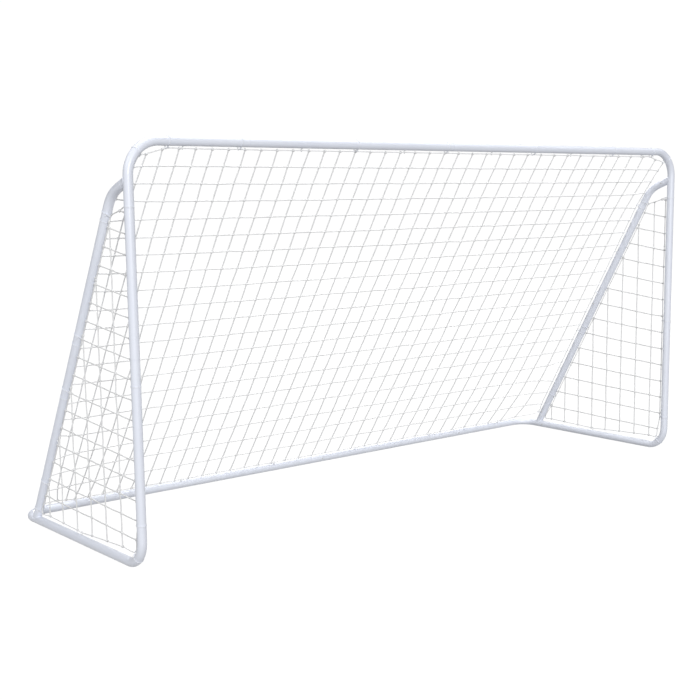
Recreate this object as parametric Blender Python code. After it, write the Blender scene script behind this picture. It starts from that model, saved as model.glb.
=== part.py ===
"""Soccer goal frame: push-fit round steel tubes, snap buttons, net hooks and net panels.

Metres, +Z up, +X to the right seen from in front, the mouth faces -Y.
The origin is on the ground at the middle of the footprint.
"""

import math

import bmesh
import bpy
from mathutils import Matrix, Vector

for item in list(bpy.data.objects):
    bpy.data.objects.remove(item, do_unlink=True)

# ---------------------------------------------------------------- dimensions
WIDTH = 3.66  # outside to outside, 12 ft
HEIGHT = 1.83  # ground to the top of the crossbar, 6 ft
DEPTH = 1.22  # front of the uprights to the back of the rear bar, 4 ft

TUBE_OD = 0.042
WALL = 0.0012
GAP = 0.0003  # clearance between pieces that touch
SIDES = 12  # facets of a tube

TOP_RADIUS = 0.145  # crossbar to upright, on the centreline
FOOT_RADIUS = 0.115  # upright to ground bar
REAR_RADIUS = 0.110  # ground bar to rear bar
STAY_RADIUS = 0.160  # bend near the top of a back stay

STAY_FOOT = 1.037  # foot of a stay behind the uprights, on the centrelines
STAY_LEAN = 1.013 / 1.788  # run over rise of a stay's straight length
STAY_KNEE = 1.592  # height where the two straight runs of a stay would meet
STAY_HEAD = 1.650  # height where a stay meets its upright

CROSS_JOINT = 1.22  # joints of crossbar and rear bar, from the middle
UPRIGHT_JOINT = 0.915
SIDE_SEAM = 1.066  # joint of ground bar and rear corner, behind the uprights
STAY_JOINT = 0.93  # joint of a stay, along it from its foot

SPIGOT = 0.075
SIDE_SPIGOT = 0.110
HEAD_SPIGOT = 0.045
HEAD_STUB = 0.040  # welded socket on the upright, from the upright's centreline
FOOT_STUB = 0.055  # welded socket on the ground bar, from the bar's centreline

PIN_RADIUS = 0.004
PIN_PROUD = 0.0032  # how far a snap button stands out of the tube
BUTTON_SET = 0.045  # a snap button's distance from its seam

NET_REACH = 0.034  # tube centreline to the net's border cord
NET_EDGE = 0.046  # tube centreline to the edge of a net panel
NET_THICK = 0.002

# ---------------------------------------------------------------- derived
R = TUBE_OD / 2
R_IN = R - WALL
R_MALE = R_IN - GAP
R_BORE = R_MALE - WALL
X_SIDE = WIDTH / 2 - R
Y_FRONT = -DEPTH / 2 + R
Y_REAR = DEPTH / 2 - R
Z_BASE = R
Z_TOP = HEIGHT - R
UP = Vector((0, 0, 1))


# ---------------------------------------------------------------- materials
def material(name, colour, roughness, metallic):
    mat = bpy.data.materials.new(name)
    mat.use_nodes = True
    shader = mat.node_tree.nodes["Principled BSDF"]
    shader.inputs["Base Color"].default_value = (*colour, 1.0)
    shader.inputs["Roughness"].default_value = roughness
    shader.inputs["Metallic"].default_value = metallic
    mat.diffuse_color = (*colour, 1.0)
    return mat


PAINT = material("white_powder_coat", (0.80, 0.83, 0.89), 0.38, 0.0)
STEEL = material("spring_steel", (0.62, 0.63, 0.65), 0.32, 1.0)
NYLON = material("white_nylon", (0.82, 0.82, 0.83), 0.5, 0.0)
CORD = material("net_cord", (0.84, 0.84, 0.83), 0.85, 0.0)


# ---------------------------------------------------------------- mesh helpers
def new_object(name, bm, mat, smooth=True):
    bmesh.ops.recalc_face_normals(bm, faces=bm.faces)
    mesh = bpy.data.meshes.new(name)
    bm.to_mesh(mesh)
    bm.free()
    mesh.materials.append(mat)
    if smooth:
        mesh.shade_smooth()
        mesh.set_sharp_from_angle(angle=math.radians(40))
    obj = bpy.data.objects.new(name, mesh)
    bpy.context.scene.collection.objects.link(obj)
    return obj


def as_cutter(obj):
    """A tool for Booleans: drawn as wire and never rendered."""
    obj.hide_render = True
    obj.display_type = "WIRE"
    return obj


def boolean(obj, tool, operation):
    mod = obj.modifiers.new(operation.lower(), "BOOLEAN")
    mod.operation = operation
    mod.solver = "EXACT"
    mod.object = tool


def ring(bm, centre, across, along, radius, sides):
    """A regular polygon whose flats are at the given radius, one of them facing `across`."""
    corner = radius / math.cos(math.pi / sides)
    turn = 2 * math.pi / sides
    return [
        bm.verts.new(
            centre
            + corner * (math.cos((k + 0.5) * turn) * across + math.sin((k + 0.5) * turn) * along)
        )
        for k in range(sides)
    ]


def skin(bm, a, b):
    n = len(a)
    for k in range(n):
        bm.faces.new((a[k], a[(k + 1) % n], b[(k + 1) % n], b[k]))


class Route:
    """A centreline in one plane: straight runs joined by arcs."""

    def __init__(self, corners, radii=(), normal=None):
        pts = [Vector(p) for p in corners]
        if normal is None:
            normal = (pts[1] - pts[0]).cross(pts[2] - pts[1])
        self.normal = Vector(normal).normalized()
        self.runs = []
        self.bends = []
        here, total = pts[0], 0.0
        for i, radius in enumerate(radii):
            before = (pts[i + 1] - pts[i]).normalized()
            after = (pts[i + 2] - pts[i + 1]).normalized()
            angle = before.angle(after)
            reach = radius * math.tan(angle / 2)
            start = pts[i + 1] - before * reach
            total = self._straight(here, start, total)
            toward = (self.normal.cross(before)).normalized()
            if toward.dot(after) < 0:
                toward = -toward
            centre = start + toward * radius
            self.runs.append(("arc", total, total + radius * angle, centre, -toward, before, radius))
            self.bends.append((total, total + radius * angle, angle))
            total += radius * angle
            here = pts[i + 1] + after * reach
        self.length = self._straight(here, pts[-1], total)

    def _straight(self, a, b, total):
        length = (b - a).length
        self.runs.append(("line", total, total + length, a, (b - a).normalized(), None, 0))
        return total + length

    def at(self, s):
        for kind, low, high, base, axis, ahead, radius in self.runs:
            if s <= high + 1e-9 or high >= self.length - 1e-9:
                if kind == "line":
                    return base + axis * (s - low), axis
                turn = (s - low) / radius
                out = axis * math.cos(turn) + ahead * math.sin(turn)
                return base + out * radius, (ahead * math.cos(turn) - axis * math.sin(turn))
        raise ValueError(s)

    def frame(self, s):
        """Point, tangent, in-plane normal and plane normal."""
        point, tangent = self.at(s)
        return point, tangent, self.normal.cross(tangent).normalized(), self.normal

    def stations(self, step=math.radians(12)):
        found = []
        for low, high, angle in self.bends:
            n = max(2, round(angle / step))
            found += [low + (high - low) * k / n for k in range(n + 1)]
        return found


def profile(route, marks):
    """Stations and radii along a route: the marks, and the bends' own stations between them."""
    out = []
    for (s0, r0), (s1, r1) in zip(marks, marks[1:]):
        out.append((s0, r0))
        if abs(r0 - r1) < 1e-9:
            low, high = min(s0, s1), max(s0, s1)
            inside = [s for s in route.stations() if low + 1e-6 < s < high - 1e-6]
            out += [(s, r0) for s in (inside if s1 > s0 else reversed(inside))]
    out.append(marks[-1])
    return out


def tube_mesh(route, start, end, outer=R, spigot=(SPIGOT, SPIGOT)):
    """A hollow tube. `start` and `end` say whether that end is a socket, a spigot or plain."""
    total = route.length
    out, inn = [], []
    if start == "spigot":
        seam = spigot[0]
        out += [(0, R_MALE - 0.001), (0.002, R_MALE), (seam, R_MALE), (seam, outer)]
        inn += [(0, R_BORE), (seam + 0.001, R_BORE), (seam + 0.006, R_IN)]
    else:
        out += [(0, outer)]
        inn += [(0, R_IN)]
    if end == "spigot":
        seam = total - spigot[1]
        out += [(seam, outer), (seam, R_MALE), (total - 0.002, R_MALE), (total, R_MALE - 0.001)]
        inn += [(seam - 0.006, R_IN), (seam - 0.001, R_BORE), (total, R_BORE)]
    else:
        out += [(total, outer)]
        inn += [(total, R_IN)]
    bm = bmesh.new()
    rings = []
    for s, r in profile(route, out) + profile(route, inn[::-1]):
        point, _, across, normal = route.frame(s)
        rings.append(ring(bm, point, across, normal, r, SIDES))
    for a, b in zip(rings, rings[1:] + rings[:1]):
        skin(bm, a, b)
    return bm


def rod_mesh(route, radius, sides=SIDES):
    bm = bmesh.new()
    rings = []
    for s, r in profile(route, [(0, radius), (route.length, radius)]):
        point, _, across, normal = route.frame(s)
        rings.append(ring(bm, point, across, normal, r, sides))
    for a, b in zip(rings, rings[1:]):
        skin(bm, a, b)
    bm.faces.new(rings[0][::-1])
    bm.faces.new(rings[-1])
    return bm


def hole_cutter(name, holes):
    """Short rods that drill the pin and hook holes: (point on the axis, direction, tube axis, radius)."""
    bm = bmesh.new()
    for point, out, axis, radius in holes:
        sides = 12 if radius > 0.0035 else 8
        a = ring(bm, point + out * 0.010, axis, out.cross(axis), radius, sides)
        b = ring(bm, point + out * 0.030, axis, out.cross(axis), radius, sides)
        skin(bm, a, b)
        bm.faces.new(a[::-1])
        bm.faces.new(b)
    return as_cutter(new_object(name, bm, PAINT, smooth=False))


# ---------------------------------------------------------------- small parts
def pose(point, out, axis):
    """Local Z along `out`, local X along the tube's axis."""
    side = out.cross(axis)
    return Matrix.Translation(point) @ Matrix(
        ((axis.x, side.x, out.x), (axis.y, side.y, out.y), (axis.z, side.z, out.z))
    ).to_4x4()


def snap_button_mesh():
    """Bent spring-steel strip with a domed pin riveted to it, origin on the tube's axis."""
    thick, half = 0.0008, 0.0045
    lie = R_BORE - GAP - thick / 2
    line = [(-0.009, lie), (0.012, lie), (0.0172, lie - 0.0028), (0.0182, lie - 0.0075), (0.0150, lie - 0.0120), (-0.010, -0.0112)]
    pts = [Vector((x, 0, z)) for x, z in line]
    bm = bmesh.new()
    rows = []
    for i, p in enumerate(pts):
        before = (p - pts[i - 1]).normalized() if i else (pts[1] - p).normalized()
        after = (pts[i + 1] - p).normalized() if i + 1 < len(pts) else before
        t = (before + after).normalized()
        n = Vector((-t.z, 0, t.x)) * (thick / 2) / max(0.5, t.dot(before))
        rows.append([bm.verts.new(p + n * a + Vector((0, half * b, 0))) for a, b in ((1, 1), (1, -1), (-1, -1), (-1, 1))])
    for a, b in zip(rows, rows[1:]):
        skin(bm, a, b)
    bm.faces.new(rows[0][::-1])
    bm.faces.new(rows[-1])
    strip = new_object("strip", bm, STEEL, smooth=False)
    tip = R + PIN_PROUD
    bm = bmesh.new()
    rings = []
    for z, r in ((lie, PIN_RADIUS), (tip - 0.0018, PIN_RADIUS), (tip - 0.0006, 0.0030), (tip, 0.0014)):
        rings.append(ring(bm, Vector((0, 0, z)), Vector((1, 0, 0)), Vector((0, 1, 0)), r * math.cos(math.pi / 12), 12))
    for a, b in zip(rings, rings[1:]):
        skin(bm, a, b)
    bm.faces.new(rings[0][::-1])
    bm.faces.new(rings[-1])
    pin = new_object("pin", bm, STEEL, smooth=False)
    boolean(strip, pin, "UNION")
    mesh = bpy.data.meshes.new_from_object(strip.evaluated_get(bpy.context.evaluated_depsgraph_get()))
    mesh.name = "snap_button"
    mesh.shade_smooth()
    mesh.set_sharp_from_angle(angle=math.radians(35))
    bpy.data.objects.remove(strip, do_unlink=True)
    bpy.data.objects.remove(pin, do_unlink=True)
    return mesh


def hook_mesh():
    """Push-in nylon hook: shank through the wall, flange, neck and an open eye round the border cord."""
    mm = 0.001
    reach = NET_REACH / mm
    stem = [(17.5, 0, 2.6), (21.3, 0, 2.6), (21.3, 0, 4.8), (22.9, 0, 4.8), (22.9, 0, 1.8), (reach - 9, 0, 1.8)]
    eye = [(reach - 4.2, -3.9, 1.7), (reach + 1.2, -4.7, 1.6), (reach + 4.8, 0, 1.6), (reach + 2.0, 4.4, 1.5)]
    pts = stem + eye
    bm = bmesh.new()
    rings = []
    for i, (z, y, r) in enumerate(pts):
        here = Vector((0, y, z))
        a = Vector((0, *pts[max(i - 1, 0)][1::-1]))
        b = Vector((0, *pts[min(i + 1, len(pts) - 1)][1::-1]))
        t = (b - a).normalized() if i >= len(stem) - 1 else Vector((0, 0, 1))
        x = Vector((1, 0, 0))
        rings.append(ring(bm, here * mm, x, t.cross(x), r * mm, 6))
    for a, b in zip(rings, rings[1:]):
        skin(bm, a, b)
    bm.faces.new(rings[0][::-1])
    bm.faces.new(rings[-1])
    hook = new_object("hook", bm, NYLON)
    mesh = hook.data
    mesh.name = "net_hook"
    bpy.data.objects.remove(hook, do_unlink=True)
    return mesh


def place(name, mesh, point, out, axis):
    obj = bpy.data.objects.new(name, mesh)
    bpy.context.scene.collection.objects.link(obj)
    obj.matrix_world = pose(point, out, axis)
    return obj


# ---------------------------------------------------------------- layout
PIN_HOLE = PIN_RADIUS + GAP
HOOK_HOLE = 0.0030
button_mesh = snap_button_mesh()
net_hook_mesh = hook_mesh()
holes = {}  # tube name: holes in its wall


def add_button(name, tubes, point, out, axis):
    """A snap button, and its hole through the socket and the spigot."""
    point, out, axis = Vector(point), Vector(out).normalized(), Vector(axis).normalized()
    place(name, button_mesh, point, out, axis)
    for tube in tubes:
        holes.setdefault(tube, []).append((point, out, axis, PIN_HOLE))


def add_hook(name, tube, point, out, axis):
    point, out, axis = Vector(point), Vector(out).normalized(), Vector(axis).normalized()
    place(name, net_hook_mesh, point, out, axis)
    holes.setdefault(tube, []).append((point, out, axis, HOOK_HOLE))


def stay_points(x):
    """Foot, knee and head of a stay's centreline."""
    foot = Vector((x, Y_FRONT + STAY_FOOT, Z_BASE))
    rise = STAY_KNEE - Z_BASE
    knee = foot + Vector((0, -STAY_LEAN * rise, rise))
    head = Vector((x, Y_FRONT, STAY_HEAD))
    return foot, knee, head


def welded_stub(name, root, direction, length, spigot, normal, parent_route):
    """A short socket stub, saddle-cut to sit on its parent tube."""
    direction = direction.normalized()
    route = Route([root, root + direction * (length + spigot)], normal=normal)
    bm = tube_mesh(route, "plain", "spigot", outer=R - 0.0003, spigot=(0, spigot))
    stub = as_cutter(new_object(name, bm, PAINT))
    saddle = as_cutter(new_object(name + "_saddle", rod_mesh(parent_route, R - WALL / 2), PAINT))
    boolean(stub, saddle, "DIFFERENCE")
    return stub


tubes = {}
for side, sign in (("left", -1), ("right", 1)):
    x = sign * X_SIDE
    inner = Vector((-sign, 0, 0))
    foot, knee, head = stay_points(x)
    up_stay = (knee - foot).normalized()
    to_knee = (knee - head).normalized()

    # crossbar corner: down the upright to its joint, along the crossbar to the next joint
    name = f"crossbar_corner_{side}"
    route = Route(
        [(x, Y_FRONT, UPRIGHT_JOINT + GAP), (x, Y_FRONT, Z_TOP), (sign * (CROSS_JOINT - SPIGOT), Y_FRONT, Z_TOP)],
        (TOP_RADIUS,),
    )
    tubes[name] = new_object(name, tube_mesh(route, "socket", "spigot"), PAINT)
    post = Route([(x, Y_FRONT, STAY_HEAD - 0.12), (x, Y_FRONT, STAY_HEAD + 0.012)], normal=(1, 0, 0))
    stub = welded_stub(f"head_stub_{side}", head, to_knee, HEAD_STUB, HEAD_SPIGOT, (1, 0, 0), post)
    boolean(tubes[name], stub, "UNION")

    # base side: along the ground from the rear seam, round the foot bend, up to the joint
    name = f"base_side_{side}"
    route = Route(
        [(x, Y_FRONT + SIDE_SEAM - GAP, Z_BASE), (x, Y_FRONT, Z_BASE), (x, Y_FRONT, UPRIGHT_JOINT + SPIGOT)],
        (FOOT_RADIUS,),
    )
    tubes[name] = new_object(name, tube_mesh(route, "socket", "spigot"), PAINT)
    rail = Route([(x, foot.y - 0.12, Z_BASE), (x, foot.y + 0.12, Z_BASE)], normal=(1, 0, 0))
    stub = welded_stub(f"foot_stub_{side}", foot, up_stay, FOOT_STUB, SPIGOT, (1, 0, 0), rail)
    boolean(tubes[name], stub, "UNION")

    # rear corner: spigots at both ends
    name = f"rear_corner_{side}"
    route = Route(
        [
            (sign * (CROSS_JOINT - SPIGOT), Y_REAR, Z_BASE),
            (x, Y_REAR, Z_BASE),
            (x, Y_FRONT + SIDE_SEAM - SIDE_SPIGOT, Z_BASE),
        ],
        (REAR_RADIUS,),
    )
    tubes[name] = new_object(name, tube_mesh(route, "spigot", "spigot", spigot=(SPIGOT, SIDE_SPIGOT)), PAINT)

    # back stay, in two lengths
    name = f"stay_lower_{side}"
    route = Route([foot + up_stay * (FOOT_STUB + GAP), foot + up_stay * (STAY_JOINT + SPIGOT)], normal=(1, 0, 0))
    tubes[name] = new_object(name, tube_mesh(route, "socket", "spigot"), PAINT)
    name = f"stay_upper_{side}"
    route = Route(
        [foot + up_stay * (STAY_JOINT + GAP), knee, head + to_knee * (HEAD_STUB + GAP)], (STAY_RADIUS,)
    )
    tubes[name] = new_object(name, tube_mesh(route, "socket", "socket"), PAINT)

    # snap buttons of this side
    corner, base, rear = f"crossbar_corner_{side}", f"base_side_{side}", f"rear_corner_{side}"
    lower, upper = f"stay_lower_{side}", f"stay_upper_{side}"
    back, front = Vector((0, 1, 0)), Vector((0, -1, 0))
    along = Vector((1, 0, 0))
    cross_x = sign * (CROSS_JOINT - BUTTON_SET)
    add_button(f"button_crossbar_{side}", (corner, f"crossbar_tube_{side}"), (cross_x, Y_FRONT, Z_TOP), back, along)
    add_button(f"button_rear_{side}", (rear, f"rear_tube_{side}"), (cross_x, Y_REAR, Z_BASE), front, along)
    add_button(f"button_upright_{side}", (corner, base), (x, Y_FRONT, UPRIGHT_JOINT + BUTTON_SET), back, UP)
    add_button(f"button_side_{side}", (base, rear), (x, Y_FRONT + SIDE_SEAM - 0.082, Z_BASE), inner, back)
    add_button(f"button_stay_foot_{side}", (base, lower), foot + up_stay * (FOOT_STUB + BUTTON_SET), inner, up_stay)
    add_button(f"button_stay_middle_{side}", (lower, upper), foot + up_stay * (STAY_JOINT + BUTTON_SET), inner, up_stay)
    add_button(f"button_stay_head_{side}", (corner, upper), head + to_knee * (HEAD_STUB + 0.022), inner, -to_knee)

    # net hooks of this side; the first and last stand on bent pieces' straight legs
    hang = Vector((0, 0.5, -math.sqrt(0.75)))
    lift = Vector((0, -0.5, math.sqrt(0.75)))
    outward = Vector((0, up_stay.z, -up_stay.y))  # square to the stay, to the rear
    rear_in = outward * math.sqrt(0.75) + inner * 0.5
    for number, (at, top_tube, rear_tube) in enumerate(
        ((0.30, f"crossbar_tube_{side}", f"rear_tube_{side}"), (0.92, f"crossbar_tube_{side}", f"rear_tube_{side}"), (1.54, corner, rear)), 1
    ):
        add_hook(f"hook_crossbar_{side}_{number}", top_tube, (sign * at, Y_FRONT, Z_TOP), hang, along)
        add_hook(f"hook_rear_{side}_{number}", rear_tube, (sign * at, Y_REAR, Z_BASE), lift, along)
    for number, (at, tube) in enumerate(((0.45, lower), (1.35, upper)), 1):
        add_hook(f"hook_stay_back_{side}_{number}", tube, foot + up_stay * at, rear_in, up_stay)
        add_hook(f"hook_stay_side_{side}_{number}", tube, foot + up_stay * (at + 0.06), -outward, up_stay)
    add_hook(f"hook_upright_{side}_1", base, (x, Y_FRONT, 0.50), back, UP)
    add_hook(f"hook_upright_{side}_2", corner, (x, Y_FRONT, 1.25), back, UP)
    add_hook(f"hook_base_{side}", base, (x, Y_FRONT + 0.56, Z_BASE), UP, back)

# the straight crossbar and rear lengths are the same two tubes
for place_name, y, z, out in (("crossbar", Y_FRONT, Z_TOP, (0, 1, 0)), ("rear", Y_REAR, Z_BASE, (0, -1, 0))):
    name = f"{place_name}_tube_left"
    route = Route([(-CROSS_JOINT + GAP, y, z), (SPIGOT, y, z)], normal=(0, 1, 0))
    tubes[name] = new_object(name, tube_mesh(route, "socket", "spigot"), PAINT)
    name = f"{place_name}_tube_right"
    route = Route([(GAP, y, z), (CROSS_JOINT - GAP, y, z)], normal=(0, 1, 0))
    tubes[name] = new_object(name, tube_mesh(route, "socket", "socket"), PAINT)
    pair = (f"{place_name}_tube_left", f"{place_name}_tube_right")
    add_button(f"button_{place_name}_middle", pair, (BUTTON_SET, y, z), out, (1, 0, 0))

for name, tube in tubes.items():
    if name in holes:
        boolean(tube, hole_cutter(f"{name}_holes", holes[name]), "DIFFERENCE")


# ---------------------------------------------------------------- net panels
def panel(name, outline, normal):
    """A thin flat panel with the given outline."""
    half = Vector(normal).normalized() * (NET_THICK / 2)
    bm = bmesh.new()
    top = [bm.verts.new(Vector(p) + half) for p in outline]
    low = [bm.verts.new(Vector(p) - half) for p in outline]
    skin(bm, low, top)
    bm.faces.new(top)
    bm.faces.new(low[::-1])
    return new_object(name, bm, CORD, smooth=False)


# back: from behind the crossbar to above the rear bar. Its middle is flat, and each side comes
# forward to the stay that it is tied to.
HANG = Vector((0, 0.5, -math.sqrt(0.75)))
LIFT = Vector((0, -0.5, math.sqrt(0.75)))
net_top = Vector((0, Y_FRONT, Z_TOP)) + HANG * NET_EDGE
net_low = Vector((0, Y_REAR, Z_BASE)) + LIFT * NET_EDGE
slope = net_low - net_top
foot, knee, head = stay_points(X_SIDE)
up_stay = (knee - foot).normalized()
square = Vector((0, up_stay.z, -up_stay.y))
edge = foot + (square * math.sqrt(0.75) + Vector((-0.5, 0, 0))) * NET_EDGE
FLAT_HALF = 1.25  # half the width of the flat middle
EDGE_TOP = 1.50  # height where the side edge leaves the stay for the crossbar's bend


def edge_at(height):
    return edge + up_stay * ((height - edge.z) / up_stay.z)


rows = []
# height, and the half width there where the edge isn't on the stay
for height, out_to in ((None, X_SIDE - TOP_RADIUS - 0.03), (1.70, 1.70), (1.60, 1.745), (EDGE_TOP, None), (1.0, None), (0.5, None), (net_low.z, None)):
    middle = net_top if height is None else net_top + slope * ((height - net_top.z) / slope.z)
    side_point = middle + Vector((out_to, 0, 0)) if out_to else edge_at(height)
    flat = middle + Vector((FLAT_HALF, 0, 0))
    rows.append([Vector((-side_point.x, side_point.y, side_point.z)), Vector((-flat.x, flat.y, flat.z)), flat, side_point])
half = Vector((0, slope.z, -slope.y)).normalized() * (NET_THICK / 2)
bm = bmesh.new()
layers = [[[bm.verts.new(p + shift) for p in row] for row in rows] for shift in (half, -half)]
for layer in layers:
    for upper, lower in zip(layer, layer[1:]):
        for k in range(3):
            a, b, c, d = upper[k], upper[k + 1], lower[k + 1], lower[k]
            if k == 1:
                bm.faces.new((a, b, c, d))
            elif k == 0:
                bm.faces.new((a, b, d))
                bm.faces.new((b, c, d))
            else:
                bm.faces.new((a, b, c))
                bm.faces.new((a, c, d))
rims = []
for layer in layers:
    rims.append(layer[0] + [row[-1] for row in layer[1:]] + layer[-1][-2::-1] + [row[0] for row in layer[-2:0:-1]])
skin(bm, rims[0], rims[1])
new_object("net_back", bm, CORD, smooth=False)

# sides: between upright, ground bar and stay
for side, sign in (("left", -1), ("right", 1)):
    x = sign * X_SIDE
    foot, knee, head = stay_points(x)
    up_stay = (knee - foot).normalized()
    inward = Vector((0, -up_stay.z, up_stay.y))  # from the stay towards the upright
    edge = foot + inward * NET_EDGE
    y0, z0 = Y_FRONT + NET_EDGE, Z_BASE + NET_EDGE

    def on_stay(z):
        return Vector((x, edge.y + (z - edge.z) * up_stay.y / up_stay.z, z))

    z_top = 1.46
    outline = [
        Vector((x, y0 + 0.07, z0)),
        Vector((x, on_stay(z0).y - 0.02, z0)),
        on_stay(z0 + 0.03),
        on_stay(z_top),
        Vector((x, y0, z_top + 0.05)),
        Vector((x, y0, z0 + 0.07)),
    ]
    panel(f"net_side_{side}", outline, (1, 0, 0))
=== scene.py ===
import math

import bmesh
import bpy
import numpy as np
from mathutils import Matrix, Vector


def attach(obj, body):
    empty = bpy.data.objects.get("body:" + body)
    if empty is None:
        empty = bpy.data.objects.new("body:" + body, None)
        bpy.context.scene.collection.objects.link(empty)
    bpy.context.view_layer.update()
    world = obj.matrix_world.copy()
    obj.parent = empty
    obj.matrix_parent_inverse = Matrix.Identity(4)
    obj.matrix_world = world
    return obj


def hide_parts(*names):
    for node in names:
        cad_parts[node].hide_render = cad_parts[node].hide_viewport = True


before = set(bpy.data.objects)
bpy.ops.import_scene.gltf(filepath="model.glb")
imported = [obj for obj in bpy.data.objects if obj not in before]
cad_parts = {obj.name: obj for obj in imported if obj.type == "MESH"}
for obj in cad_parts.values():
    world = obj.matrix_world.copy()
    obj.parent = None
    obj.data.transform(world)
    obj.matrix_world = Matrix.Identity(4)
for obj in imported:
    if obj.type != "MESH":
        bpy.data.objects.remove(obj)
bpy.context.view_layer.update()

UP = Vector((0, 0, 1))

# ------------------------------------------------------------------ camera
CAM_AT = Vector((-4.2565, -5.0445, 1.6083))
CAM_AZ, CAM_EL, CAM_ROLL = (math.radians(a) for a in (40.666, -8.789, -0.404))
FOCAL = 1212.9 / 700  # focal length over the picture's width


def make_camera():
    f = Vector((math.sin(CAM_AZ) * math.cos(CAM_EL), math.cos(CAM_AZ) * math.cos(CAM_EL), math.sin(CAM_EL)))
    r = Vector((math.cos(CAM_AZ), -math.sin(CAM_AZ), 0))
    u = r.cross(f)
    r2 = r * math.cos(CAM_ROLL) + u * math.sin(CAM_ROLL)
    u2 = u * math.cos(CAM_ROLL) - r * math.sin(CAM_ROLL)
    cam = bpy.data.objects.new("camera", bpy.data.cameras.new("camera"))
    bpy.context.scene.collection.objects.link(cam)
    cam.matrix_world = Matrix.Translation(CAM_AT) @ Matrix((r2, u2, -f)).transposed().to_4x4()
    cam.data.sensor_width = 36
    cam.data.lens = 36 * FOCAL
    cam.data.shift_x = (350 - 388.0) / 700
    cam.data.shift_y = (375.8 - 350) / 700
    cam.data.clip_start, cam.data.clip_end = 0.05, 300
    bpy.context.scene.camera = cam
    return cam


make_camera()

# ------------------------------------------------------------------ sizes, as in the CAD
R = 0.021
WALL = 0.0012
GAP = 0.0003
R_IN = R - WALL
R_MALE = R_IN - GAP
R_BORE = R_MALE - WALL
X_SIDE, Y_FRONT, Y_REAR = 1.809, -0.589, 0.589
Z_BASE, Z_TOP = 0.021, 1.809
TOP_RADIUS, FOOT_RADIUS, REAR_RADIUS, STAY_RADIUS = 0.145, 0.115, 0.110, 0.160
STAY_FOOT, STAY_LEAN, STAY_KNEE, STAY_HEAD = 1.037, 1.013 / 1.788, 1.592, 1.650
CROSS_JOINT, UPRIGHT_JOINT, SIDE_SEAM, STAY_JOINT = 1.22, 0.915, 1.066, 0.93
SPIGOT, SIDE_SPIGOT, HEAD_SPIGOT = 0.075, 0.110, 0.045
HEAD_STUB, FOOT_STUB = 0.040, 0.055
PIN_RADIUS, PIN_PROUD, BUTTON_SET = 0.004, 0.0032, 0.045
NET_REACH = 0.034
PIN_HOLE, HOOK_HOLE = PIN_RADIUS + GAP, 0.0030
SIDES = 48


# ------------------------------------------------------------------ materials
def new_material(name, base, rough, metallic=0.0):
    m = bpy.data.materials.new(name)
    m.use_nodes = True
    nt = m.node_tree
    b = nt.nodes["Principled BSDF"]
    b.inputs["Base Color"].default_value = (*base, 1)
    b.inputs["Roughness"].default_value = rough
    b.inputs["Metallic"].default_value = metallic
    return m, nt, b


def node(nt, kind, **props):
    n = nt.nodes.new(kind)
    for k, v in props.items():
        setattr(n, k, v)
    return n


def noise(nt, where, scale, detail=3.0, rough=0.55, stretch=None):
    if stretch is not None:
        mp = node(nt, "ShaderNodeMapping")
        mp.inputs["Scale"].default_value = stretch
        nt.links.new(where, mp.inputs["Vector"])
        where = mp.outputs["Vector"]
    n = node(nt, "ShaderNodeTexNoise")
    n.inputs["Scale"].default_value = scale
    n.inputs["Detail"].default_value = detail
    n.inputs["Roughness"].default_value = rough
    nt.links.new(where, n.inputs["Vector"])
    return n.outputs["Fac"]


def ramp(nt, fac, stops):
    n = node(nt, "ShaderNodeValToRGB")
    el = n.color_ramp.elements
    while len(el) < len(stops):
        el.new(0.5)
    for e, (at, col) in zip(el, stops):
        e.position = at
        e.color = (*col, 1) if len(col) == 3 else col
    nt.links.new(fac, n.inputs["Fac"])
    return n.outputs["Color"]


def remap(nt, fac, low, high, a=0.0, b=1.0):
    n = node(nt, "ShaderNodeMapRange")
    n.inputs["From Min"].default_value = a
    n.inputs["From Max"].default_value = b
    n.inputs["To Min"].default_value = low
    n.inputs["To Max"].default_value = high
    nt.links.new(fac, n.inputs["Value"])
    return n.outputs["Result"]


def bump(nt, shader, height, strength, distance, after=None):
    n = node(nt, "ShaderNodeBump")
    n.inputs["Strength"].default_value = strength
    n.inputs["Distance"].default_value = distance
    nt.links.new(height, n.inputs["Height"])
    if after is not None:
        nt.links.new(after, n.inputs["Normal"])
    nt.links.new(n.outputs["Normal"], shader.inputs["Normal"])
    return n.outputs["Normal"]


def mix_colour(nt, fac, a, b, mode="MIX"):
    n = node(nt, "ShaderNodeMix", data_type="RGBA", blend_type=mode)
    for sock, v in ((n.inputs[0], fac), (n.inputs[6], a), (n.inputs[7], b)):
        if isinstance(v, (int, float)):
            sock.default_value = v
        elif isinstance(v, tuple):
            sock.default_value = (*v, 1)
        else:
            nt.links.new(v, sock)
    return n.outputs[2]


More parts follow.
